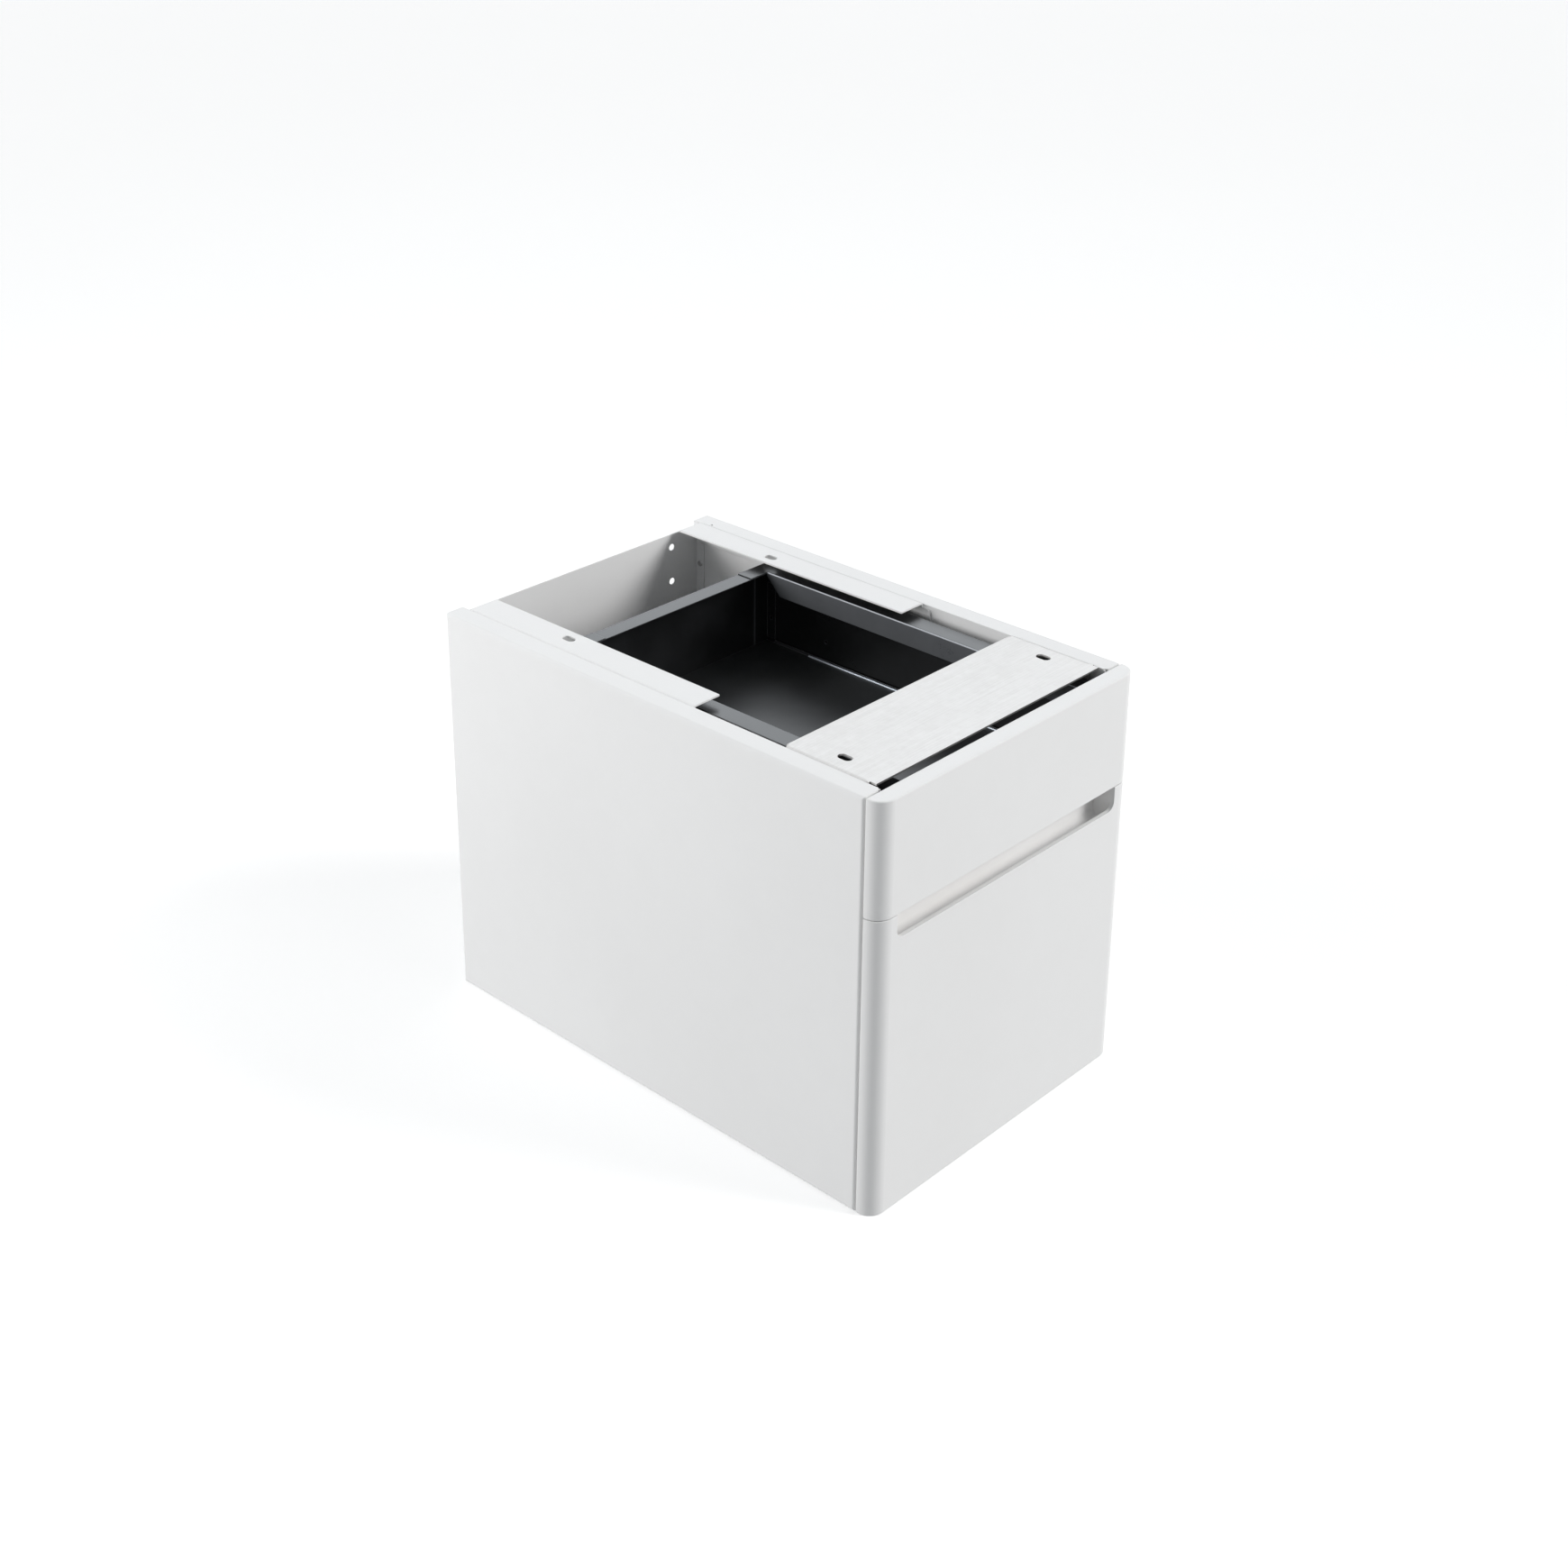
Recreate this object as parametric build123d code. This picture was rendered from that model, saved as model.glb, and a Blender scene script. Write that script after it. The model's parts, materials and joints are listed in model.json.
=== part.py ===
from build123d import *
import os

# A low steel drawer cabinet that hangs under or stands beside a desk.
# The frame: X to the right, Y to the rear, Z up, origin on the floor under the middle of the cabinet.
# All sizes are in millimetres.

# Whole cabinet
cabinet_width = 390.0
cabinet_depth = 600.0
case_height = 449.0
mount_rise = 1.0

# Case sheets
case_sheet = 1.2
wall_width = 24.0
case_edge_radius = 3.0
case_inner_radius = 1.0
case_corner_cut = 4.0
back_setback = 5.0
back_top_gap = 4.0
back_flange = 12.0
bottom_flange = 10.0
corner_relief = 1.0

# Drawer fronts
front_thickness = 19.0
front_gap = 2.5
front_sheet = 1.0
front_corner_radius = 18.0
front_edge_radius = 1.5
front_edge_land = 1.0
upper_front_height = 122.0
seam_gap = 1.0
seam_edge_radius = 0.6

# Grip recess in the lower front, a trough that is lower than its lip, so that fingers hook behind it
grip_sheet = 1.0
grip_margin = 26.0
grip_height = 25.0
grip_dip = 15.0
grip_depth = 25.0
grip_lip_width = 4.5
grip_corner_radius = 9.0
grip_back_radius = 8.0
grip_near_radius = 3.0
cutout_clearance = 0.3

# Drawer boxes
drawer_sheet = 1.0
box_depth = 450.0
rim_drop = 9.0
rim_width = 23.5
back_rim_width = 20.0
hem_height = 24.0
hem_mitre = 20.0
hem_bend_radius = 1.8
rim_edge_radius = 0.8
upper_box_lift = 17.0
lower_box_lift = 12.0
lower_rim_clearance = 4.0
seat_flange = 8.0
floor_lip = 4.0
floor_bend_radius = 3.0
floor_edge_gap = 1.5
front_tab_width = 18.0
front_tab_margin = 12.0
back_tab = 12.0
corner_ear = 25.0

# Telescopic slides
slide_space = 14.0
slide_set_back = 4.0
slide_rear_gap = 43.5
slide_lift = 26.0
slide_height = 46.0
slide_sheet = 1.2
member_gap = 0.4
travel_reserve = 10.0
ball_radius = 1.6
ball_clearance = 0.3
balls_per_row = 7
cage_sheet = 0.6
cage_gap = 0.7
cage_end_margin = 2.5
cage_ball_gap = 8.4

# Top plate and mounting flanges
bracket_sheet = 2.0
bend_radius = 3.0
plate_set_back = 7.75
plate_depth = 112.5
plate_rear_leg = 6.0
plate_front_relief = 7.0
plate_relief_gap = 2.0
plate_ear_width = 4.0
plate_rear_gap = 0.5
bracket_drop = 24.0
flange_width = 35.0
flange_length = 330.0
flange_rear_gap = 7.0
leg_overrun = 12.0
leg_top_drop = 4.0
leg_corner_radius = 6.0
pilot_hole_radius = 1.5
pilot_rear_gap = 25.0
pilot_wall_gap = 4.0

# Mounting slots
slot_width = 10.0
slot_length = 16.0
slot_wall_gap = 21.0
slot_spacing_y = 375.0
slot_front_gap = 62.0

# Two holes in the back panel
back_hole_radius = 4.0
back_hole_x = 130.0
back_hole_top = 20.0
back_hole_spacing = 42.0

# Rivets, screws and rubber stops
rivet_radius = 2.0
rivet_head_radius = 3.4
rivet_head_height = 1.2
rivet_crown_radius = 0.7
rivet_clearance = 0.05
stop_radius = 4.0
stop_gap = 0.3
stop_inset = 12.0

# Distances from the rivets and screws to the ends of what they hold
back_rivet_gap = 50.0
bottom_rivet_gap = 80.0
plate_rivet_gap = 15.0
flange_rivet_gap = 20.0
slide_case_rivet_gap = 30.0
slide_box_rivet_gap = 45.0
corner_rivet_gap = 30.0
screw_low_gap = 10.0
screw_top_gap = 14.0
screw_wall_gap = 10.0
bracket_rivet_lift = 9.6

# Planes that several pieces share
half_width = cabinet_width / 2
front_y = -cabinet_depth / 2
front_back_y = front_y + front_thickness
case_front_y = front_back_y + front_gap
case_back_y = cabinet_depth / 2
wall_x = half_width - wall_width
back_inner_y = case_back_y - back_setback
mount_z = case_height + mount_rise
box_half = wall_x - slide_space
box_back_y = front_back_y + box_depth
upper_front_bottom = case_height - upper_front_height
lower_front_top = upper_front_bottom - seam_gap
upper_rim_z = case_height - rim_drop
upper_box_bottom = upper_front_bottom + upper_box_lift
grip_lip_z = lower_front_top - grip_height
grip_floor_z = grip_lip_z - grip_dip
grip_half = half_width - grip_margin
lower_box_bottom = lower_box_lift
lower_rim_z = grip_floor_z - grip_sheet - lower_rim_clearance
slide_front_y = case_front_y + slide_set_back
slide_back_y = box_back_y - slide_rear_gap
slide_length = slide_back_y - slide_front_y
drawer_travel = slide_length - travel_reserve
plate_front_y = case_front_y + plate_set_back
plate_back_y = plate_front_y + plate_depth
plate_tab_front_y = plate_front_y + plate_front_relief + plate_ear_width
plate_tab_back_y = plate_back_y - bend_radius - plate_rear_gap
flange_back_y = back_inner_y - flange_rear_gap
flange_front_y = flange_back_y - flange_length
bracket_low_z = mount_z - bracket_drop
bracket_rivet_z = bracket_low_z + bracket_rivet_lift
front_slot_y = case_front_y + slot_front_gap
slot_rows = (front_slot_y, front_slot_y + slot_spacing_y)
slot_x = wall_x - slot_wall_gap

both_sides = {"left": -1, "right": 1}

# Cutters run past the faces that they open, and straight cutters for holes have one length.
overrun = 1.0
cutter_length = 10.0
near_zero = 0.01


def block(xs, ys, zs):
    # A box between two values on each axis, in either order.
    size = [abs(b - a) for a, b in (xs, ys, zs)]
    centre = [(a + b) / 2 for a, b in (xs, ys, zs)]
    return Pos(*centre) * Box(*size)


def mirrored(side, near, far):
    # An X span on one side of the middle plane.
    return side * near, side * far


def edges_along(solid, axis):
    return solid.edges().filter_by(axis)


def edges_at(edges, x=None, y=None, z=None):
    # The edges whose middle lies at the values that are given.
    kept = []
    for edge in edges:
        middle = edge.center()
        pairs = ((middle.X, x), (middle.Y, y), (middle.Z, z))
        if all(want is None or abs(have - want) < near_zero for have, want in pairs):
            kept.append(edge)
    return kept


def rivet(x, y, z, direction, grip):
    # The head lies on the point, on the side that direction names. The shank goes the other way.
    shank = Pos(0, 0, -grip / 2) * Cylinder(rivet_radius, grip)
    head = Pos(0, 0, rivet_head_height / 2) * Cylinder(rivet_head_radius, rivet_head_height)
    crown = edges_at(head.edges(), z=rivet_head_height)
    head = fillet(crown, rivet_crown_radius)
    plane = Plane(origin=(x, y, z), z_dir=direction)
    return plane * (head + shank)


def rivet_hole(x, y, z, direction, grip):
    hole = Pos(0, 0, -grip / 2) * Cylinder(rivet_radius + rivet_clearance, cutter_length)
    return Plane(origin=(x, y, z), z_dir=direction) * hole


def drill(solid, rivets):
    for place in rivets:
        solid -= rivet_hole(*place)
    return solid


def spaced(first, last, count):
    step = (last - first) / (count - 1)
    return [first + step * index for index in range(count)]


# Places of the rivets, each as x, y, z, the way its head faces, and the sheets that it grips.

def back_rivets(side):
    grip = 2 * case_sheet
    y = back_inner_y - back_flange / 2
    x = side * (wall_x - case_sheet)
    ends = (back_rivet_gap, case_height - back_rivet_gap)
    return [(x, y, z, (-side, 0, 0), grip) for z in spaced(*ends, 3)]


def bottom_rivets(side):
    x = side * (wall_x - case_sheet)
    z = case_sheet + (bottom_flange - case_sheet) / 2
    ends = (case_front_y + bottom_rivet_gap, back_inner_y - bottom_rivet_gap)
    return [(x, y, z, (-side, 0, 0), 2 * case_sheet) for y in spaced(*ends, 3)]


def plate_rivets(side):
    x = side * (wall_x - bracket_sheet)
    ends = (plate_tab_front_y + plate_rivet_gap, plate_tab_back_y - plate_rivet_gap)
    grip = bracket_sheet + case_sheet
    return [(x, y, bracket_rivet_z, (-side, 0, 0), grip) for y in spaced(*ends, 2)]


def flange_rivets(side):
    x = side * (wall_x - bracket_sheet)
    ends = (flange_front_y + flange_rivet_gap, flange_back_y - flange_rivet_gap)
    grip = bracket_sheet + case_sheet
    return [(x, y, bracket_rivet_z, (-side, 0, 0), grip) for y in spaced(*ends, 3)]


def slide_case_rivets(side, slide_z):
    # The head is inside the hollow wall and the tail is flush in the slide.
    x = side * (wall_x + case_sheet)
    grip = slide_sheet + case_sheet
    ends = (slide_front_y + slide_case_rivet_gap, slide_back_y - slide_case_rivet_gap)
    return [(x, y, slide_z, (side, 0, 0), grip) for y in spaced(*ends, 3)]


def slide_box_rivets(side, slide_z):
    # The head is in the hollow of the inner member and the tail is flush in the box side.
    x = side * (box_half + slide_sheet)
    grip = slide_sheet + drawer_sheet
    ends = (slide_front_y + slide_box_rivet_gap, slide_back_y - slide_box_rivet_gap)
    return [(x, y, slide_z, (side, 0, 0), grip) for y in spaced(*ends, 3)]


def box_corner_rivets(side, bottom, rim):
    x = side * box_half
    y = box_back_y - drawer_sheet - back_tab / 2
    ends = (bottom + corner_rivet_gap, rim - corner_rivet_gap)
    return [(x, y, z, (side, 0, 0), 2 * drawer_sheet) for z in spaced(*ends, 2)]


def front_screws(side, bottom, rim):
    # These join the box sides to the inner sheet of the drawer front.
    x = side * (box_half - screw_wall_gap)
    y = front_back_y + drawer_sheet
    grip = drawer_sheet + front_sheet
    ends = (bottom + front_tab_margin + screw_low_gap, rim - hem_height - screw_top_gap)
    return [(x, y, z, (0, 1, 0), grip) for z in spaced(*ends, 2)]


# Case

def side_panel(side):
    # A folded pan: the outer skin with a flange all round its inner side.
    pan = block(mirrored(side, wall_x, half_width), (case_front_y, case_back_y), (0, case_height))
    rim = edges_at(pan.edges(), x=side * half_width)
    pan = fillet(rim, case_edge_radius)
    corner = edges_at(edges_along(pan, Axis.Z), x=side * wall_x, y=case_front_y)
    pan = chamfer(corner, case_corner_cut)
    fold = edges_at(edges_along(pan, Axis.Y), x=side * wall_x, z=case_height)
    pan = fillet(fold, case_inner_radius)
    pan -= block(
        mirrored(side, wall_x - overrun, half_width - case_sheet),
        (case_front_y + case_sheet, case_back_y - case_sheet),
        (case_sheet, case_height - case_sheet),
    )
    if side > 0:
        pilot_y = case_back_y - pilot_rear_gap
        pilot = Cylinder(pilot_hole_radius, cutter_length)
        pan -= Pos(wall_x + pilot_wall_gap, pilot_y, case_height) * pilot
    return pan


def side_liner(side, slide_heights):
    # The flat inner sheet of the wall, which carries the slides and brackets.
    liner = block(
        mirrored(side, wall_x, wall_x + case_sheet),
        (case_front_y + case_sheet, case_back_y - case_sheet),
        (case_sheet, case_height - case_sheet),
    )
    places = back_rivets(side) + bottom_rivets(side) + plate_rivets(side) + flange_rivets(side)
    for slide_z in slide_heights:
        places += slide_case_rivets(side, slide_z)
    return drill(liner, places)


def back_panel():
    top = case_height - back_top_gap
    sheet = block((-wall_x, wall_x), (back_inner_y, back_inner_y + case_sheet), (case_sheet, top))
    for side in both_sides.values():
        sheet += block(
            mirrored(side, wall_x - case_sheet, wall_x),
            (back_inner_y - back_flange, back_inner_y + case_sheet),
            (bottom_flange + corner_relief, bracket_low_z - corner_relief),
        )
        sheet = drill(sheet, back_rivets(side))
    for drop in (0, back_hole_spacing):
        hole = Cylinder(back_hole_radius, cutter_length, rotation=(90, 0, 0))
        sheet -= Pos(back_hole_x, back_inner_y, case_height - back_hole_top - drop) * hole
    return sheet


def bottom_panel():
    # A shallow tray that closes the floor of the case.
    rear = back_inner_y
    tray = block((-wall_x, wall_x), (case_front_y, case_back_y), (0, case_sheet))
    tray += block((-wall_x, wall_x), (case_front_y, case_front_y + case_sheet), (0, bottom_flange))
    tray += block((-wall_x, wall_x), (rear - case_sheet, rear), (0, bottom_flange))
    for side in both_sides.values():
        tray += block(
            mirrored(side, wall_x - case_sheet, wall_x), (case_front_y, rear), (0, bottom_flange)
        )
        tray = drill(tray, bottom_rivets(side))
    return tray


def slot_cutter(side, y):
    profile = Sketch() + SlotOverall(slot_length, slot_width, rotation=90)
    cutter = extrude(profile, amount=cutter_length / 2, both=True)
    return Pos(side * slot_x, y, mount_z) * cutter


def cross_plate():
    # The bare steel plate across the front of the top, with its ends turned down on the walls.
    flat_x = wall_x - bracket_sheet - bend_radius
    top = (mount_z - bracket_sheet, mount_z)
    plate = block((-flat_x, flat_x), (plate_front_y, plate_back_y), top)
    rear_leg = (plate_back_y - bracket_sheet, plate_back_y)
    plate += block((-flat_x, flat_x), rear_leg, (mount_z - plate_rear_leg, mount_z))
    tab_ys = (plate_tab_front_y, plate_tab_back_y)
    for side in both_sides.values():
        plate += block(mirrored(side, flat_x, wall_x), tab_ys, top)
        tab = mirrored(side, wall_x - bracket_sheet, wall_x)
        plate += block(tab, tab_ys, (bracket_low_z, mount_z))
    bends = edges_at(edges_along(plate, Axis.X), x=0, y=plate_back_y, z=mount_z)
    for side in both_sides.values():
        bends += edges_at(edges_along(plate, Axis.Y), x=side * wall_x, z=mount_z)
    plate = fillet(bends, bend_radius)
    relief_back_y = plate_front_y + plate_front_relief
    for side in both_sides.values():
        corner = mirrored(side, flat_x, wall_x - plate_relief_gap)
        plate += block(corner, (plate_front_y, relief_back_y), top)
        plate += block(mirrored(side, flat_x, wall_x), (relief_back_y, plate_tab_front_y), top)
        plate -= slot_cutter(side, slot_rows[0])
        plate = drill(plate, plate_rivets(side))
    return plate


def mount_flange(side):
    # An angle with its leg on the wall and its slotted top turned inwards.
    angle = block(
        mirrored(side, wall_x - flange_width, wall_x),
        (flange_front_y, flange_back_y),
        (mount_z - bracket_sheet, mount_z),
    )
    leg = mirrored(side, wall_x - bracket_sheet, wall_x)
    angle += block(leg, (flange_front_y, flange_back_y), (bracket_low_z, mount_z))
    bend = edges_at(edges_along(angle, Axis.Y), x=side * wall_x, z=mount_z)
    angle = fillet(bend, bend_radius)
    tail = block(
        leg, (flange_front_y - leg_overrun, flange_front_y), (bracket_low_z, mount_z - leg_top_drop)
    )
    corner = edges_at(
        edges_along(tail, Axis.X), y=flange_front_y - leg_overrun, z=mount_z - leg_top_drop
    )
    angle += fillet(corner, leg_corner_radius)
    angle -= slot_cutter(side, slot_rows[1])
    return drill(angle, flange_rivets(side))


def front_stops():
    # Rubber discs on the front edges of the case, which the closed fronts rest against.
    thickness = front_gap - stop_gap
    heights = (stop_inset, lower_front_top - stop_inset, upper_front_bottom + stop_inset)
    heights += (case_height - stop_inset,)
    stops = []
    for side in both_sides.values():
        for z in heights:
            disc = Cylinder(stop_radius, thickness, rotation=(90, 0, 0))
            place = Pos(side * (half_width - wall_width / 2), case_front_y - thickness / 2, z)
            stops.append(place * disc)
    return stops


# Telescopic slides. Distances from the wall to each member, over the slide's thickness.

outer_half = slide_height / 2
row_gap = 2 * (ball_radius + ball_clearance)
middle_half = outer_half - slide_sheet - row_gap
inner_half = middle_half - slide_sheet - row_gap
outer_cage_web = slide_sheet + cage_gap
middle_web = outer_cage_web + cage_sheet + cage_gap
inner_cage_web = middle_web + slide_sheet + cage_gap
inner_tip = inner_cage_web + cage_sheet + cage_gap
open_edge = slide_space - slide_sheet - member_gap
cage_length = slide_length - drawer_travel / 2 - 2 * cage_end_margin
cage_front_y = slide_front_y + drawer_travel / 4 + cage_end_margin
outer_ball_x = (middle_web + open_edge) / 2
inner_ball_x = (inner_tip + open_edge) / 2


def channel(side, slide_z, web, edge, half, sheet, ys):
    # A channel that opens away from its web, from web to edge in distance from the wall.
    into = 1 if edge > web else -1
    body = block(mirrored(side, wall_x - web, wall_x - web - into * sheet), ys, (-half, half))
    for top in (-half, half):
        inner = top - sheet if top > 0 else top + sheet
        body += block(mirrored(side, wall_x - web, wall_x - edge), ys, (top, inner))
    return Pos(0, 0, slide_z) * body


def slide_outer(side, slide_z):
    ys = (slide_front_y, slide_back_y)
    member = channel(side, slide_z, 0, open_edge, outer_half, slide_sheet, ys)
    return drill(member, slide_case_rivets(side, slide_z))


def slide_middle(side, slide_z):
    ys = (slide_front_y, slide_back_y)
    return channel(side, slide_z, middle_web, open_edge, middle_half, slide_sheet, ys)


def slide_inner(side, slide_z):
    ys = (slide_front_y, slide_back_y)
    member = channel(side, slide_z, slide_space, inner_tip, inner_half, slide_sheet, ys)
    return drill(member, slide_box_rivets(side, slide_z))


def ball_row_places(side, slide_z, from_wall, row_z):
    first = cage_front_y + cage_ball_gap + ball_radius
    last = cage_front_y + cage_length - cage_ball_gap - ball_radius
    ys = spaced(first, last, balls_per_row)
    return [(side * (wall_x - from_wall), y, slide_z + end * row_z) for y in ys for end in (-1, 1)]


def ball_cage(side, slide_z, web, half, from_wall):
    # A thin channel with a round window for each ball.
    row_z = half - slide_sheet - row_gap / 2
    ys = (cage_front_y, cage_front_y + cage_length)
    edge = open_edge - member_gap
    cage = channel(side, slide_z, web, edge, row_z + cage_sheet / 2, cage_sheet, ys)
    for place in ball_row_places(side, slide_z, from_wall, row_z):
        cage -= Pos(*place) * Cylinder(ball_radius + ball_clearance, row_gap)
    return cage


def balls(side, slide_z, half, from_wall):
    row_z = half - slide_sheet - row_gap / 2
    places = ball_row_places(side, slide_z, from_wall, row_z)
    return [Pos(*place) * Sphere(ball_radius) for place in places]


# Drawer fronts

def front_shell(bottom, top, seam):
    # The painted face: a shallow pan with rounded upright corners, open at the rear. Its edge at the
    # seam between the two fronts is folded tighter.
    shell = block((-half_width, half_width), (front_y, front_back_y), (bottom, top))
    corners = edges_at(edges_along(shell, Axis.Z), y=front_y)
    corner_radius = min(front_corner_radius, front_thickness - front_edge_land)
    shell = fillet(corners, corner_radius)
    for z in (bottom, top):
        level = edges_at(shell.edges(), z=z)
        rim = [edge for edge in level if edge.center().Y < front_back_y - near_zero]
        shell = fillet(rim, seam_edge_radius if z == seam else front_edge_radius)
    hollow = block(
        (-half_width + front_sheet, half_width - front_sheet),
        (front_y + front_sheet, front_back_y + overrun),
        (bottom + front_sheet, top - front_sheet),
    )
    corners = edges_at(edges_along(hollow, Axis.Z), y=front_y + front_sheet)
    return shell - fillet(corners, corner_radius - front_sheet)


def front_inner_sheet(bottom, top):
    # The flat sheet that closes the rear of a front.
    return block(
        (-half_width + front_sheet, half_width - front_sheet),
        (front_back_y - front_sheet, front_back_y),
        (bottom + front_sheet, top - front_sheet),
    )


def grip_notch():
    notch = block(
        (-grip_half, grip_half),
        (front_y - overrun, front_back_y + overrun),
        (grip_lip_z, lower_front_top + grip_height),
    )
    return fillet(edges_at(edges_along(notch, Axis.Y), z=grip_lip_z), grip_corner_radius)


def lower_front():
    return front_shell(0, lower_front_top, lower_front_top) - grip_notch()


def grip_block(wall):
    # The space of the trough, grown by a wall at its ends, rear and floor.
    near = front_y + grip_lip_width - wall
    far = front_y + grip_depth + wall
    half = grip_half + wall
    floor_z = grip_floor_z - wall
    space = block((-half, half), (near, far), (floor_z, lower_front_top))
    along_rear = edges_at(edges_along(space, Axis.X), y=far, z=floor_z)
    space = fillet(along_rear, grip_back_radius + wall)
    along_near = edges_at(edges_along(space, Axis.X), y=near, z=floor_z)
    return fillet(along_near, grip_near_radius + wall)


def grip_lip():
    # A rim round the notch, from the painted sheet to the near wall of the trough.
    half = grip_half + grip_sheet
    rim = block(
        (-half, half),
        (front_y + front_sheet, front_y + grip_lip_width),
        (grip_lip_z - grip_sheet, lower_front_top),
    )
    low = edges_at(edges_along(rim, Axis.Y), z=grip_lip_z - grip_sheet)
    return fillet(low, grip_corner_radius + grip_sheet) - grip_notch()


def grip_cup():
    # The trough behind the notch, with its lip. Its ends stop under the folded top of the front.
    cup = grip_block(grip_sheet) - grip_block(0) - grip_notch() + grip_lip()
    for side in both_sides.values():
        cup -= block(
            mirrored(side, grip_half, half_width),
            (front_y, front_back_y),
            (lower_front_top - front_sheet, lower_front_top),
        )
    return cup


def lower_inner_sheet():
    sheet = front_inner_sheet(0, lower_front_top)
    window = grip_half + grip_sheet + cutout_clearance
    sheet -= block(
        (-window, window),
        (front_back_y - front_sheet - overrun, front_back_y + overrun),
        (grip_floor_z - grip_sheet - cutout_clearance, lower_front_top),
    )
    for side in both_sides.values():
        sheet = drill(sheet, front_screws(side, lower_box_bottom, lower_rim_z))
    return sheet


def upper_front():
    return front_shell(upper_front_bottom, case_height, upper_front_bottom)


def upper_inner_sheet():
    sheet = front_inner_sheet(upper_front_bottom, case_height)
    for side in both_sides.values():
        sheet = drill(sheet, front_screws(side, upper_box_bottom, upper_rim_z))
    return sheet


# Drawer boxes

def rim_and_hem(side, rim):
    # The wide rim of a side, bent down into a hem whose rear end is cut at an angle.
    hem_x = box_half - rim_width
    ys = (front_back_y, box_back_y - back_rim_width)
    hem = block(mirrored(side, hem_x, hem_x + drawer_sheet), ys, (rim - hem_height, rim))
    hem = chamfer(edges_at(edges_along(hem, Axis.X), y=ys[1], z=rim - hem_height), hem_mitre)
    body = hem + block(mirrored(side, hem_x, box_half), ys, (rim - drawer_sheet, rim))
    outer = edges_at(edges_along(body, Axis.Y), x=side * hem_x, z=rim)
    body = fillet(outer, hem_bend_radius)
    inner_x = side * (hem_x + drawer_sheet)
    inner = edges_at(edges_along(body, Axis.Y), x=inner_x, z=rim - drawer_sheet)
    return fillet(inner, hem_bend_radius - drawer_sheet)


def box_side(side, bottom, rim, slide_z):
    # A folded side: the wall, the wide rim with its hem, and a seat for the floor.
    ys = (front_back_y, box_back_y)
    body = rim_and_hem(side, rim)
    body += block(mirrored(side, box_half - drawer_sheet, box_half), ys, (bottom, rim))
    body += block(
        mirrored(side, box_half - seat_flange, box_half), ys, (bottom, bottom + drawer_sheet)
    )
    body += block(
        mirrored(side, box_half - front_tab_width, box_half),
        (front_back_y, front_back_y + drawer_sheet),
        (bottom + front_tab_margin, rim - hem_height - drawer_sheet),
    )
    body += block(
        mirrored(side, box_half - rim_width - corner_ear, box_half),
        (box_back_y - back_rim_width, box_back_y),
        (rim - drawer_sheet, rim),
    )
    outer_edge = edges_at(edges_along(body, Axis.Y), x=side * box_half, z=rim)
    body = fillet(outer_edge, rim_edge_radius)
    places = slide_box_rivets(side, slide_z) + box_corner_rivets(side, bottom, rim)
    return drill(body, places + front_screws(side, bottom, rim))


def box_back(bottom, rim):
    # The rear wall, with its rim one sheet under the ears of the sides.
    wall_face = box_half - drawer_sheet
    top = rim - drawer_sheet
    low = bottom + drawer_sheet
    body = block((-wall_face, wall_face), (box_back_y - drawer_sheet, box_back_y), (low, top))
    rim_x = box_half - rim_width
    body += block(
        (-rim_x, rim_x), (box_back_y - back_rim_width, box_back_y), (top - drawer_sheet, top)
    )
    for side in both_sides.values():
        body += block(
            mirrored(side, wall_face - drawer_sheet, wall_face),
            (box_back_y - drawer_sheet - back_tab, box_back_y),
            (low + floor_lip + drawer_sheet, rim - hem_height),
        )
        body = drill(body, box_corner_rivets(side, bottom, rim))
    return body


def box_floor(bottom):
    # The floor sheet, with a low lip bent up beside each wall. The lips end before the rear corners.
    low = bottom + drawer_sheet
    edge = box_half - drawer_sheet - floor_edge_gap
    ys = (front_back_y + drawer_sheet, box_back_y - drawer_sheet)
    lip_ys = (ys[0], ys[1] - back_tab - drawer_sheet)
    tray = block((-edge, edge), lip_ys, (low, low + drawer_sheet))
    for side in both_sides.values():
        tray += block(mirrored(side, edge - drawer_sheet, edge), lip_ys, (low, low + floor_lip))
    tray = fillet(edges_at(edges_along(tray, Axis.Y), z=low), floor_bend_radius)
    inner = edges_at(edges_along(tray, Axis.Y), z=low + drawer_sheet)
    tray = fillet(inner, floor_bend_radius - drawer_sheet)
    return tray + block((-edge, edge), (lip_ys[1], ys[1]), (low, low + drawer_sheet))


# Build and write every piece

os.makedirs("parts", exist_ok=True)


def write(name, solids):
    if isinstance(solids, list):
        solids = Compound(children=solids)
    solids.label = name
    export_step(solids, f"parts/{name}.step")


drawers = {
    "upper": (upper_box_bottom, upper_rim_z),
    "lower": (lower_box_bottom, lower_rim_z),
}
slide_heights = [bottom + slide_lift for bottom, rim in drawers.values()]

case_rivets = []
slide_rivets = []
for name, side in both_sides.items():
    write(f"side_panel_{name}", side_panel(side))
    write(f"side_liner_{name}", side_liner(side, slide_heights))
    write(f"mount_flange_{name}", mount_flange(side))
    places = back_rivets(side) + bottom_rivets(side) + plate_rivets(side) + flange_rivets(side)
    case_rivets += [rivet(*place) for place in places]
write("back_panel", back_panel())
write("bottom_panel", bottom_panel())
write("cross_plate", cross_plate())
write("case_rivets", case_rivets)
write("front_stops", front_stops())

write("upper_front", upper_front())
write("upper_inner_sheet", upper_inner_sheet())
write("lower_front", lower_front())
write("lower_grip_cup", grip_cup())
write("lower_inner_sheet", lower_inner_sheet())

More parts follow.
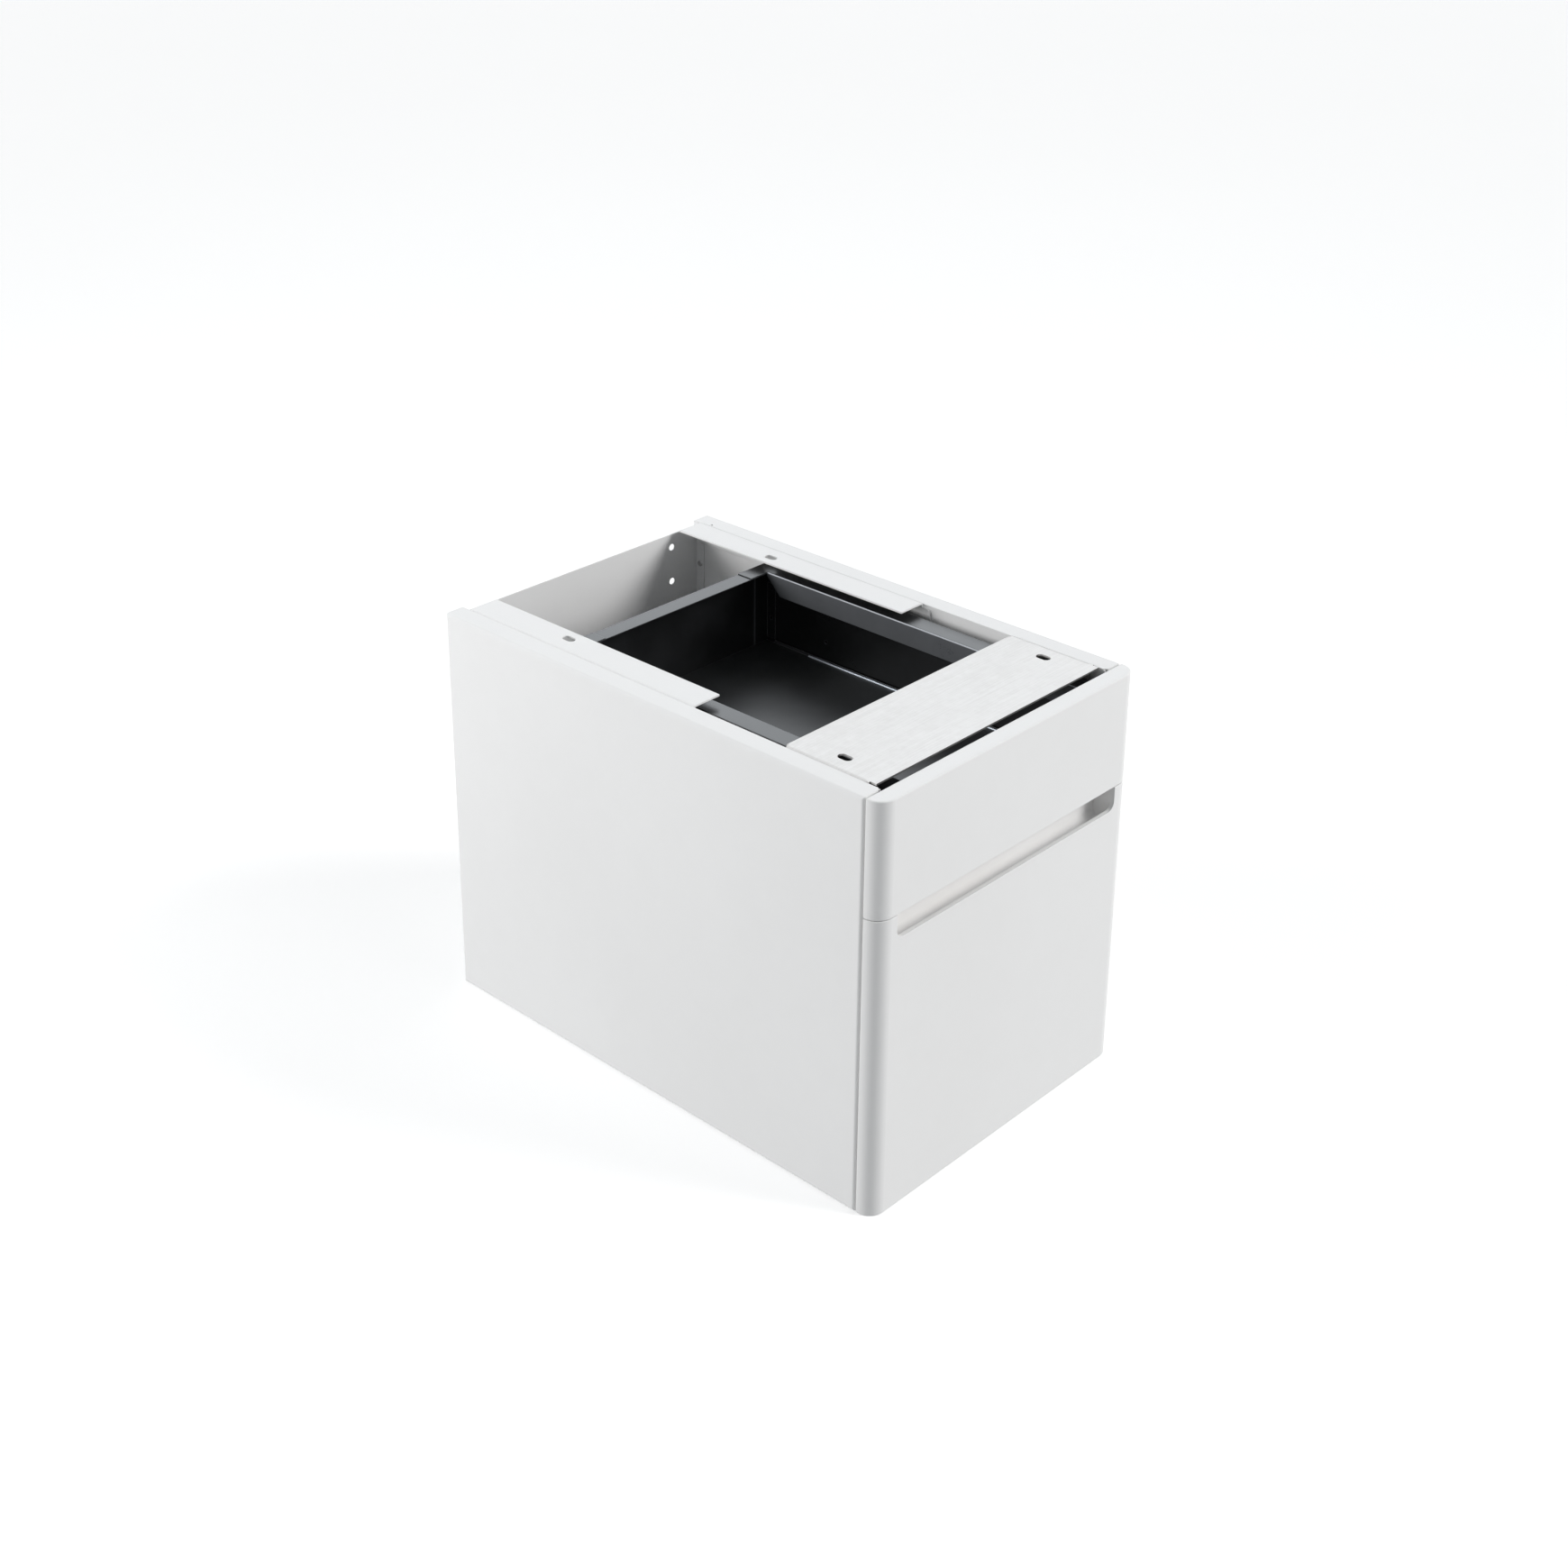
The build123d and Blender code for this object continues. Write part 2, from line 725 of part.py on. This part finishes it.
for drawer, (bottom, rim) in drawers.items():
    slide_z = bottom + slide_lift
    write(f"{drawer}_box_back", box_back(bottom, rim))
    write(f"{drawer}_box_floor", box_floor(bottom))
    box_fasteners = []
    screws = []
    outer_balls = []
    inner_balls = []
    outer_cages = []
    inner_cages = []
    for name, side in both_sides.items():
        write(f"{drawer}_box_side_{name}", box_side(side, bottom, rim, slide_z))
        write(f"{drawer}_slide_outer_{name}", slide_outer(side, slide_z))
        write(f"{drawer}_slide_middle_{name}", slide_middle(side, slide_z))
        write(f"{drawer}_slide_inner_{name}", slide_inner(side, slide_z))
        slide_rivets += [rivet(*place) for place in slide_case_rivets(side, slide_z)]
        places = slide_box_rivets(side, slide_z) + box_corner_rivets(side, bottom, rim)
        box_fasteners += [rivet(*place) for place in places]
        screws += [rivet(*place) for place in front_screws(side, bottom, rim)]
        outer_cages.append(ball_cage(side, slide_z, outer_cage_web, outer_half, outer_ball_x))
        inner_cages.append(ball_cage(side, slide_z, inner_cage_web, middle_half, inner_ball_x))
        outer_balls += balls(side, slide_z, outer_half, outer_ball_x)
        inner_balls += balls(side, slide_z, middle_half, inner_ball_x)
    write(f"{drawer}_box_rivets", box_fasteners)
    write(f"{drawer}_front_screws", screws)
    write(f"{drawer}_outer_ball_cages", outer_cages)
    write(f"{drawer}_inner_ball_cages", inner_cages)
    write(f"{drawer}_outer_balls", outer_balls)
    write(f"{drawer}_inner_balls", inner_balls)
write("slide_rivets", slide_rivets)
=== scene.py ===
import json
import math

import bpy
from mathutils import Matrix, Vector

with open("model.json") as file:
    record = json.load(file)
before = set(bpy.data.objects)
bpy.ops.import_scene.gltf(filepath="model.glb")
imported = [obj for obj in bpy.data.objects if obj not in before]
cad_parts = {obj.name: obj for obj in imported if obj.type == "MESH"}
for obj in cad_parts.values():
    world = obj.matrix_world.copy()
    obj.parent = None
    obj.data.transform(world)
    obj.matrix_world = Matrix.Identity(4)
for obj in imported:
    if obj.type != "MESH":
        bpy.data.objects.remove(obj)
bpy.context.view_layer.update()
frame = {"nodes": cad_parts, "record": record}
nodes = frame["nodes"]
print("drawer cabinet: frame loaded with", len(nodes), "nodes")


# one socket, wrapped so that shader maths reads as plain maths
class Wire:
    def __init__(self, graph, socket):
        self.graph = graph
        self.socket = socket

    def maths(self, operation, *values):
        sockets = dict(enumerate(values))
        return self.graph.add("ShaderNodeMath", {"operation": operation}, sockets).out(0)

    def __add__(self, other):
        return self.maths("ADD", self, other)

    def __radd__(self, other):
        return self.maths("ADD", other, self)

    def __sub__(self, other):
        return self.maths("SUBTRACT", self, other)

    def __rsub__(self, other):
        return self.maths("SUBTRACT", other, self)

    def __mul__(self, other):
        return self.maths("MULTIPLY", self, other)

    def __rmul__(self, other):
        return self.maths("MULTIPLY", other, self)

    def __neg__(self):
        return self.maths("MULTIPLY", self, -1.0)

    def size(self):
        return self.maths("ABSOLUTE", self)

    def clamped(self):
        return self.graph.add("ShaderNodeClamp", {}, {"Value": self}).out(0)

    def swing(self, amount):
        # turns 0 to 1 into minus to plus half the amount
        return amount * (self - 0.5)


class Node:
    def __init__(self, graph, node):
        self.graph = graph
        self.node = node

    def out(self, name):
        return Wire(self.graph, self.node.outputs[name])


# where the edge mask starts and is full, and how wide the ends of a strip fade in metres
maskLook = {"edge": (0.02, 0.3), "edgeSamples": 6, "stripSides": (0.0002, 0.0002), "stripRear": 0.001}


# the nodes of one material, or of the sky
class Graph:
    def __init__(self, owner):
        owner.use_nodes = True
        self.owner = owner
        self.tree = owner.node_tree
        self.tree.nodes.clear()

    def give(self, socket, value):
        if isinstance(value, Wire):
            self.tree.links.new(value.socket, socket)
        else:
            socket.default_value = value

    def add(self, kind, settings=None, sockets=None):
        node = self.tree.nodes.new(kind)
        for key, value in (settings or {}).items():
            setattr(node, key, value)
        for key, value in (sockets or {}).items():
            self.give(node.inputs[key], value)
        return Node(self, node)

    def place(self, stretch=(1.0, 1.0, 1.0)):
        # the piece's own coordinates in metres, stretched along each axis
        spot = self.add("ShaderNodeTexCoord").out("Object")
        return self.add("ShaderNodeVectorMath", {"operation": "MULTIPLY"}, {0: spot, 1: stretch}).out(0)

    def noise(self, scale, detail, roughness=0.5, stretch=(1.0, 1.0, 1.0)):
        where = self.place(stretch)
        sockets = {"Vector": where, "Scale": scale, "Detail": detail, "Roughness": roughness}
        return self.add("ShaderNodeTexNoise", {"noise_dimensions": "3D"}, sockets).out("Fac")

    def between(self, low, high, value):
        # 0 below low, 1 above high, smooth between them
        settings = {"interpolation_type": "SMOOTHSTEP"}
        sockets = {"Value": value, "From Min": low, "From Max": high}
        return self.add("ShaderNodeMapRange", settings, sockets).out("Result")

    def inside(self, span, fade, value):
        # 1 where the value lies in the span, fading just above each of its ends
        start, end = (self.between(limit, limit + width, value) for limit, width in zip(span, fade))
        return start * (1 - end)

    def blend(self, amount, first, second):
        mix = self.add("ShaderNodeMix", {"data_type": "RGBA"}).node
        given = {"Factor": amount, "A": first, "B": second}
        for socket in mix.inputs:
            if socket.enabled and socket.name in given:
                self.give(socket, given[socket.name])
        return Wire(self, [socket for socket in mix.outputs if socket.enabled][0])

    def strip(self, span, rear):
        # 1 where the distance from the middle plane lies in the span, up to the rear end
        spot = self.add("ShaderNodeSeparateXYZ", {}, {0: self.place()})
        across = self.inside(span, maskLook["stripSides"], spot.out("X").size())
        return across * (1 - self.between(rear, rear + maskLook["stripRear"], spot.out("Y")))

    def facing(self, axis):
        # 1 where the surface faces along the axis, -1 where it faces the other way
        hard = self.add("ShaderNodeNewGeometry").out("Normal")
        return self.add("ShaderNodeSeparateXYZ", {}, {0: hard}).out(axis)

    def edges(self, radius):
        # rounds the shading of sharp sheet edges, and gives a mask that is 1 on them
        settings = {"samples": maskLook["edgeSamples"]}
        soft = self.add("ShaderNodeBevel", settings, {"Radius": radius}).out("Normal")
        hard = self.add("ShaderNodeNewGeometry").out("Normal")
        settings = {"operation": "DOT_PRODUCT"}
        alike = self.add("ShaderNodeVectorMath", settings, {0: soft, 1: hard}).out("Value")
        return soft, self.between(*maskLook["edge"], 1 - alike)

    def roughness(self, look, coarse, fine, edge=None):
        # the finish's roughness, varied by two noises and on the edges
        rough = look["rough"] + coarse.swing(look["coarseRough"]) + fine.swing(look["fineRough"])
        if edge is not None:
            rough = rough + look["edgeRough"] * edge
        return rough.clamped()

    def finish(self, bump=None, height=None, normal=None, **surface):
        if bump is not None:
            sockets = {"Height": bump, "Distance": height, "Strength": 1.0}
            if normal is not None:
                sockets["Normal"] = normal
            normal = self.add("ShaderNodeBump", {}, sockets).out("Normal")
        if normal is not None:
            surface["Normal"] = normal
        named = {key.replace("_", " "): value for key, value in surface.items()}
        shader = self.add("ShaderNodeBsdfPrincipled", {}, named)
        self.add("ShaderNodeOutputMaterial", {}, {"Surface": shader.out("BSDF")})
        return self.owner


def newMaterial(look):
    return Graph(bpy.data.materials.new(look["name"]))


def grey(value, warm=0.0):
    return (value * (1 + warm), value, value * (1 - warm), 1.0)


# In every finish a noise is its scale per metre, its detail and its roughness, and a streak is stretched
# along each axis. Tones are linear light, and lighter, darker and edgeTone are times the tone.

# white paint: a fine powder coat, thinner and greyer on the inner sheets
casePaint = {
    "name": "whitePowderCoat",
    "tone": 0.86,
    "warm": 0.001,
    "lighter": 1.012,
    "darker": 0.985,
    "darkerWarm": 2.0,
    "patchSpan": (0.3, 0.7),
    "cloudShare": 0.7,
    "dustShare": 0.3,
    "edgeTone": 1.06,
    "edgeMost": 0.93,
    "edgeShare": 0.25,
    "rough": 0.46,
    "coarseRough": 0.10,
    "fineRough": 0.06,
    "edgeRough": -0.06,
    "edgeRadius": 0.0008,       # how round sharp edges are shaded, in metres
    "cloud": (4.0, 4.0),
    "dust": (38.0, 6.0, 0.62),
    "grain": (1300.0, 2.0),
    "ripple": (364.0, 2.0),
    "rippleShare": 0.8,
    "relief": 0.00002,          # height of the fine bumps in metres
}
frontPaint = dict(casePaint, name="whiteFrontCoat", warm=0.002, rough=0.42)
innerPaint = dict(
    casePaint, name="thinWhiteCoat", tone=0.78, warm=0.003, rough=0.52,
    grain=(900.0, 2.0), ripple=(252.0, 2.0), relief=0.00003,
)
# the lower grip's cup: the case paint made lighter and warmer, as painted light of the warm light
# bounced inside the recess
cupPaintWarmBounce = dict(casePaint, name="cupCoatPaintedWarmLight", tone=0.885, warm=0.006)


def powderCoat(look):
    g = newMaterial(look)
    soft, edge = g.edges(look["edgeRadius"])
    dust = g.noise(*look["dust"])
    grain = g.noise(*look["grain"])
    patches = g.noise(*look["cloud"]) * look["cloudShare"] + dust * look["dustShare"]
    lighter = grey(look["tone"] * look["lighter"], look["warm"])
    darker = grey(look["tone"] * look["darker"], look["warm"] * look["darkerWarm"])
    # the sharp edges are painted a little paler
    paleEdge = grey(min(look["tone"] * look["edgeTone"], look["edgeMost"]), look["warm"])
    colour = g.blend(g.between(*look["patchSpan"], patches), darker, lighter)
    colour = g.blend(edge * look["edgeShare"], colour, paleEdge)
    peel = grain + look["rippleShare"] * g.noise(*look["ripple"])
    return g.finish(bump=peel, height=look["relief"], normal=soft, Base_Color=colour,
                    Roughness=g.roughness(look, dust, grain, edge))


# near-black paint of the drawer boxes, which mirrors bright surroundings at a flat angle
drawerPaint = {
    "name": "darkDrawerCoat",
    "tint": (0.94, 0.98, 1.05),
    "tone": 0.007,
    "dusty": 0.012,
    "dustySpan": (0.42, 0.72),
    "edgeWearAndHighlight": 0.30,               # painted highlight on the edges, over a little wear
    "edgeWearAndHighlightShare": 0.7,
    "paintedHemLight": 0.125,            # painted light: the faces of the hems are painted paler, as where light falls on them
    "lightStripX": (0.1330, 0.1353),
    "lightStripRear": 0.3,          # past the rear of the box
    "hemLightUp": (-0.5, 0.3),    # from a side of the hem to the start of its bend
    "hemLightFade": (0.1, 0.1),
    "lightStripLeast": 0.7,         # the mask of the strip where no dust is, and what dust adds
    "lightStripDust": 0.4,
    "bendHighlightTone": 0.58,           # painted highlight in the bend of the sheet
    "bendUp": (0.35, 0.88),
    "bendFade": (0.1, 0.05),
    "metal": 0.0,               # how metallic the painted highlight in the bend is
    "rough": 0.30,
    "coarseRough": 0.12,
    "fineRough": 0.06,
    "edgeRough": 0.04,
    "glassy": 1.62,             # how strongly the paint mirrors
    "edgeRadius": 0.0010,
    "dust": (22.0, 6.0, 0.62),
    "grain": (900.0, 2.0),
    "relief": 0.00002,
}
# the same paint on the drawer floors, duller, with a pale metallic strip in the bend at each side as a
# painted highlight
drawerFloorPaint = dict(
    drawerPaint, name="darkFloorCoat", paintedHemLight=0.0, lightStripX=(0.1512, 0.1534), lightStripRear=0.103,
    bendHighlightTone=0.80, bendUp=(0.1, 0.95), metal=1.0, rough=0.37, glassy=1.85,
)


def darkCoat(look):
    g = newMaterial(look)
    soft, edge = g.edges(look["edgeRadius"])
    dust = g.noise(*look["dust"])
    grain = g.noise(*look["grain"])

    def tinted(key):
        return [look[key] * part for part in look["tint"]] + [1.0]

    colour = g.blend(g.between(*look["dustySpan"], dust), tinted("tone"), tinted("dusty"))
    # the edges are painted paler: a painted highlight over a little wear
    colour = g.blend(edge * look["edgeWearAndHighlightShare"], colour, tinted("edgeWearAndHighlight"))
    upward = g.facing("Z")
    # painted light: a strip along each hem face, and on the floors along each bend, is painted paler,
    # varied by the dust
    dustyStripLight = look["lightStripLeast"] + look["lightStripDust"] * dust
    strip = g.strip(look["lightStripX"], look["lightStripRear"]) * dustyStripLight
    if look["paintedHemLight"]:
        side = g.inside(look["hemLightUp"], look["hemLightFade"], upward)
        colour = g.blend((strip * side).clamped(), colour, tinted("paintedHemLight"))
    # painted highlight: the bend of the sheet is painted pale
    paintedBendHighlight = (strip * g.inside(look["bendUp"], look["bendFade"], upward)).clamped()
    colour = g.blend(paintedBendHighlight, colour, tinted("bendHighlightTone"))
    shine = {"Metallic": paintedBendHighlight * look["metal"]} if look["metal"] else {}
    return g.finish(bump=grain, height=look["relief"], normal=soft, Base_Color=colour,
                    Roughness=g.roughness(look, dust, grain, edge), IOR=look["glassy"], **shine)


# the bare plate across the top: pale, brushed across the cabinet, with painted shade on the cut edges
# that face the front
plateSteel = {
    "name": "brushedPlate",
    "tone": 0.71,
    "warm": 0.013,
    "lighter": 1.06,
    "darker": 0.88,
    "darkerWarm": 1.8,
    "patchSpan": (0.32, 0.68),
    "streakShare": 0.5,
    "mottleShare": 0.3,
    "cloudShare": 0.2,
    "cutShadeTone": 0.12,
    "cutShadeWarm": 0.01,
    "cutShadeSpan": (0.85, 0.99),
    "metal": 0.15,
    "rough": 0.40,
    "coarseRough": 0.16,
    "fineRough": 0.10,
    "edgeRough": -0.05,
    "edgeRadius": 0.0006,
    "streak": (1.0, 5.0, 0.62, (9.0, 700.0, 700.0)),
    "mottle": (110.0, 4.0, 0.6),
    "cloud": (9.0, 3.0),
    "mottleHeight": 0.5,        # beside the streaks
    "relief": 0.00001,
}


def brushedPlate(look):
    g = newMaterial(look)
    soft, edge = g.edges(look["edgeRadius"])
    streak = g.noise(*look["streak"])
    mottle = g.noise(*look["mottle"])
    cloud = g.noise(*look["cloud"])
    patches = streak * look["streakShare"] + mottle * look["mottleShare"] + cloud * look["cloudShare"]
    lighter = grey(look["tone"] * look["lighter"], look["warm"])
    darker = grey(look["tone"] * look["darker"], look["warm"] * look["darkerWarm"])
    colour = g.blend(g.between(*look["patchSpan"], patches), darker, lighter)
    # painted shade: the cut edges facing the front, down in the narrow gap, are painted dark
    cutShade = g.between(*look["cutShadeSpan"], -g.facing("Y"))
    colour = g.blend(cutShade, colour, grey(look["cutShadeTone"], look["cutShadeWarm"]))
    return g.finish(bump=streak + look["mottleHeight"] * mottle, height=look["relief"], normal=soft,
                    Base_Color=colour, Metallic=look["metal"],
                    Roughness=g.roughness(look, streak, mottle, edge))


# zinc of the slides, their cages and the rivets
slideSteel = {
    "name": "slideZinc",
    "tone": 0.60,
    "warm": 0.012,
    "lighter": 1.06,
    "darker": 0.90,
    "patchSpan": (0.25, 0.75),
    "streakShare": 0.6,
    "spangleShare": 0.4,
    "edgeTone": 1.15,
    "edgeMost": 0.92,
    "edgeShare": 0.3,
    "rough": 0.30,
    "coarseRough": 0.16,
    "fineRough": 0.10,
    "edgeRadius": 0.0007,
    "streak": (1.0, 4.0, 0.6, (520.0, 7.0, 520.0)),
    "spangle": (60.0, 3.0),
    "relief": 0.00001,
}
cageSteel = dict(
    slideSteel, name="cageZinc", tone=0.52, rough=0.36, streak=(1.0, 4.0, 0.6, (480.0, 9.0, 480.0)),
)
rivetSteel = dict(
    slideSteel, name="rivetZinc", tone=0.58, rough=0.33, streak=(1.0, 4.0, 0.6, (260.0, 260.0, 260.0)),
)
boxRivetSteel = dict(rivetSteel, name="blackRivetZinc", tone=0.03, rough=0.40)


def zinc(look):
    g = newMaterial(look)
    soft, edge = g.edges(look["edgeRadius"])
    streak = g.noise(*look["streak"])
    spangle = g.noise(*look["spangle"])
    patches = streak * look["streakShare"] + spangle * look["spangleShare"]
    lighter = grey(look["tone"] * look["lighter"], look["warm"])
    darker = grey(look["tone"] * look["darker"], look["warm"])
    edgeWearAndHighlight = grey(min(look["tone"] * look["edgeTone"], look["edgeMost"]), look["warm"])
    colour = g.blend(g.between(*look["patchSpan"], patches), darker, lighter)
    colour = g.blend(edge * look["edgeShare"], colour, edgeWearAndHighlight)
    return g.finish(bump=streak, height=look["relief"], normal=soft, Base_Color=colour, Metallic=1.0,
                    Roughness=g.roughness(look, streak, spangle))


ballLook = {
    "name": "polishedBallSteel",
    "low": 0.62,
    "high": 0.75,
    "rough": 0.08,
    "filmRough": 0.12,
    "film": (900.0, 3.0),
}


def ballSteel(look):
    g = newMaterial(look)
    film = g.noise(*look["film"])
    colour = g.blend(film, grey(look["low"]), grey(look["high"]))
    return g.finish(Base_Color=colour, Metallic=1.0, Roughness=look["rough"] + look["filmRough"] * film)


rubberLook = {
    "name": "paleStopRubber",
    "low": 0.42,
    "high": 0.50,
    "warm": 0.02,
    "rough": 0.62,
    "grainRough": 0.1,
    "grain": (1500.0, 2.0),
    "relief": 0.00003,
}


def softRubber(look):
    g = newMaterial(look)
    grain = g.noise(*look["grain"])
    colour = g.blend(grain, grey(look["low"], look["warm"]), grey(look["high"], look["warm"]))
    return g.finish(bump=grain, height=look["relief"], Base_Color=colour,
                    Roughness=look["rough"] + look["grainRough"] * grain)


finishes = {
    "case_white": powderCoat(casePaint),
    "front_white": powderCoat(frontPaint),
    "inner_white": powderCoat(innerPaint),
    "plate_steel": brushedPlate(plateSteel),
    "rivet_steel": zinc(rivetSteel),
    "stop_rubber": softRubber(rubberLook),
    "drawer_dark": darkCoat(drawerPaint),
    "slide_zinc": zinc(slideSteel),
    "cage_zinc": zinc(cageSteel),
    "ball_steel": ballSteel(ballLook),
}
# nodes whose finish differs a little from that of their slot
floorFinish = darkCoat(drawerFloorPaint)
boxRivetFinish = zinc(boxRivetSteel)
ownFinishes = {
    "upper_box_floor": floorFinish,
    "lower_box_floor": floorFinish,
    "upper_box_rivets": boxRivetFinish,
    "lower_box_rivets": boxRivetFinish,
    # the cup carries painted light, lighter and warmer than the case
    "lower_grip_cup": powderCoat(cupPaintWarmBounce),
}
for subpart in frame["record"]["subparts"]:
    node = nodes[subpart["node"]]
    node.data.materials.clear()
    node.data.materials.append(ownFinishes.get(subpart["node"], finishes[subpart["material_slot"]]))


# white paper under the cabinet, which throws no light back up at the walls
floorLook = {
    "name": "floorPaper",
    "half": 40.0,
    "tone": 0.93,
    "lighter": 1.005,
    "darker": 0.995,
    "mottle": (1.5, 3.0),
    "rough": 0.85,
    "mottleRough": 0.05,
    "glow": 0.30,
}


def makeFloor(look):
    half = look["half"]
    mesh = bpy.data.meshes.new("studioFloor")
    corners = [(-half, -half, 0), (half, -half, 0), (half, half, 0), (-half, half, 0)]
    mesh.from_pydata(corners, [], [(0, 1, 2, 3)])
    floor = bpy.data.objects.new("studioFloor", mesh)
    floor.visible_diffuse = False
    bpy.context.scene.collection.objects.link(floor)
    g = newMaterial(look)
    mottle = g.noise(*look["mottle"])
    colour = g.blend(mottle, grey(look["tone"] * look["darker"]), grey(look["tone"] * look["lighter"]))
    paper = g.finish(Base_Color=colour, Roughness=look["rough"] + look["mottleRough"] * mottle,
                     Emission_Color=colour, Emission_Strength=look["glow"])
    mesh.materials.append(paper)


suns = {
    # name: where the light comes from, its width in degrees, strength, colour
    "overhead": ((0.0, 0.0, 1.0), 60.0, 0.10, (1.0, 1.0, 0.995)),
    "rearLeft": ((-0.80, 0.60, 0.26), 36.0, 0.97, (1.0, 0.990, 0.983)),
    "frontRight": ((0.60, -0.80, 0.56), 26.0, 1.74, (1.0, 0.993, 0.985)),
}
panels = {
    # name: place, size across and up, watts, whether it shows only in gloss
    "leftGlow": ((-1.7, 1.5, 0.9), (1.2, 1.2), 23.5, False),
    "rightGlow": ((1.5, -2.0, 1.3), (1.2, 1.2), 12.0, False),
    "rearSheen": ((2.2, 2.05, 2.9), (4.0, 3.6), 62.0, True),
    "leftSheen": ((-1.9, 2.4, 2.6), (1.0, 1.0), 14.0, True),
}
lampLook = {
    "sunDistance": 4.0,
    "panelAim": (0.0, 0.0, 0.3),
    "glowColour": (1.0, 1.0, 0.995),
    "sheenColour": (0.90, 0.95, 1.0),
}
skyLook = {
    "light": 0.34,      # what lights the pieces
    "mirrored": 0.95,   # what glossy paint mirrors
    "seen": 1.0,        # what the camera sees
    "lightTint": (0.95, 0.98, 1.0, 1.0),
    "mirroredTint": (0.93, 0.97, 1.0, 1.0),
    "seenTint": (1.0, 1.0, 1.0, 1.0),
}


def addLamp(name, kind, place, aim):
    data = bpy.data.lights.new(name, kind)
    lamp = bpy.data.objects.new(name, data)
    lamp.location = place
    lamp.rotation_euler = (aim - lamp.location).to_track_quat("-Z", "Y").to_euler()
    lamp.visible_camera = False
    bpy.context.scene.collection.objects.link(lamp)
    return lamp, data


def makeLight(look):
    for name, (fromWhere, width, strength, colour) in suns.items():
        lamp, data = addLamp(name, "SUN", Vector(fromWhere).normalized() * look["sunDistance"], Vector())
        lamp.visible_glossy = False     # paint mirrors the pale sky and the sheens instead
        data.angle = math.radians(width)
        data.energy = strength
        data.color = colour
    for name, (place, size, watts, glossOnly) in panels.items():
        lamp, data = addLamp(name, "AREA", Vector(place), Vector(look["panelAim"]))
        data.shape = "RECTANGLE"
        data.size, data.size_y = size
        data.energy = watts
        data.color = look["sheenColour"] if glossOnly else look["glowColour"]
        lamp.visible_diffuse = not glossOnly
        lamp.visible_glossy = glossOnly


def makeSky(look):
    world = bpy.data.worlds.new("studioSky")
    bpy.context.scene.world = world
    g = Graph(world)
    ray = g.add("ShaderNodeLightPath")
    light, mirrored, seen = (
        g.add("ShaderNodeBackground", {}, {"Color": look[part + "Tint"], "Strength": look[part]}).out(0)
        for part in ("light", "mirrored", "seen")
    )
    sockets = {0: ray.out("Is Glossy Ray"), 1: light, 2: mirrored}
    unseen = g.add("ShaderNodeMixShader", {}, sockets).out(0)
    sockets = {0: ray.out("Is Camera Ray"), 1: unseen, 2: seen}
    whole = g.add("ShaderNodeMixShader", {}, sockets).out(0)
    g.add("ShaderNodeOutputWorld", {}, {"Surface": whole})


cameraLook = {
    "target": (0.0, 0.0, 0.225),
    "turn": 47.28,          # degrees round to the left of the fronts
    "drop": 22.35,          # degrees below the horizon
    "roll": 0.53,
    "distance": 2.419,
    "aside": 0.0024,
    "above": 0.3005,
    "sensor": 36.0,
    "focalPixels": 2543.0,
    "framePixels": 1740.0,
    "shiftY": -0.15,
}


def makeCamera(look):
    turn, drop, roll = (math.radians(look[key]) for key in ("turn", "drop", "roll"))
    ahead = Vector((math.sin(turn) * math.cos(drop), math.cos(turn) * math.cos(drop), -math.sin(drop)))
    levelRight = Vector((math.cos(turn), -math.sin(turn), 0.0))
    levelUp = levelRight.cross(ahead)
    right = levelRight * math.cos(roll) + levelUp * math.sin(roll)
    up = levelUp * math.cos(roll) - levelRight * math.sin(roll)
    place = Vector(look["target"]) - ahead * look["distance"]
    place += right * look["aside"] + up * look["above"]
    data = bpy.data.cameras.new("photoView")
    data.sensor_width = look["sensor"]
    data.lens = look["sensor"] * look["focalPixels"] / look["framePixels"]
    data.shift_y = look["shiftY"]
    camera = bpy.data.objects.new("photoView", data)
    camera.matrix_world = Matrix((
        (right.x, up.x, -ahead.x, place.x),
        (right.y, up.y, -ahead.y, place.y),
        (right.z, up.z, -ahead.z, place.z),
        (0.0, 0.0, 0.0, 1.0),
    ))
    bpy.context.scene.collection.objects.link(camera)
    bpy.context.scene.camera = camera


makeFloor(floorLook)
makeLight(lampLook)
makeSky(skyLook)
makeCamera(cameraLook)
bpy.context.scene.view_settings.view_transform = "Standard"
print("drawer cabinet: floor, light and camera made")
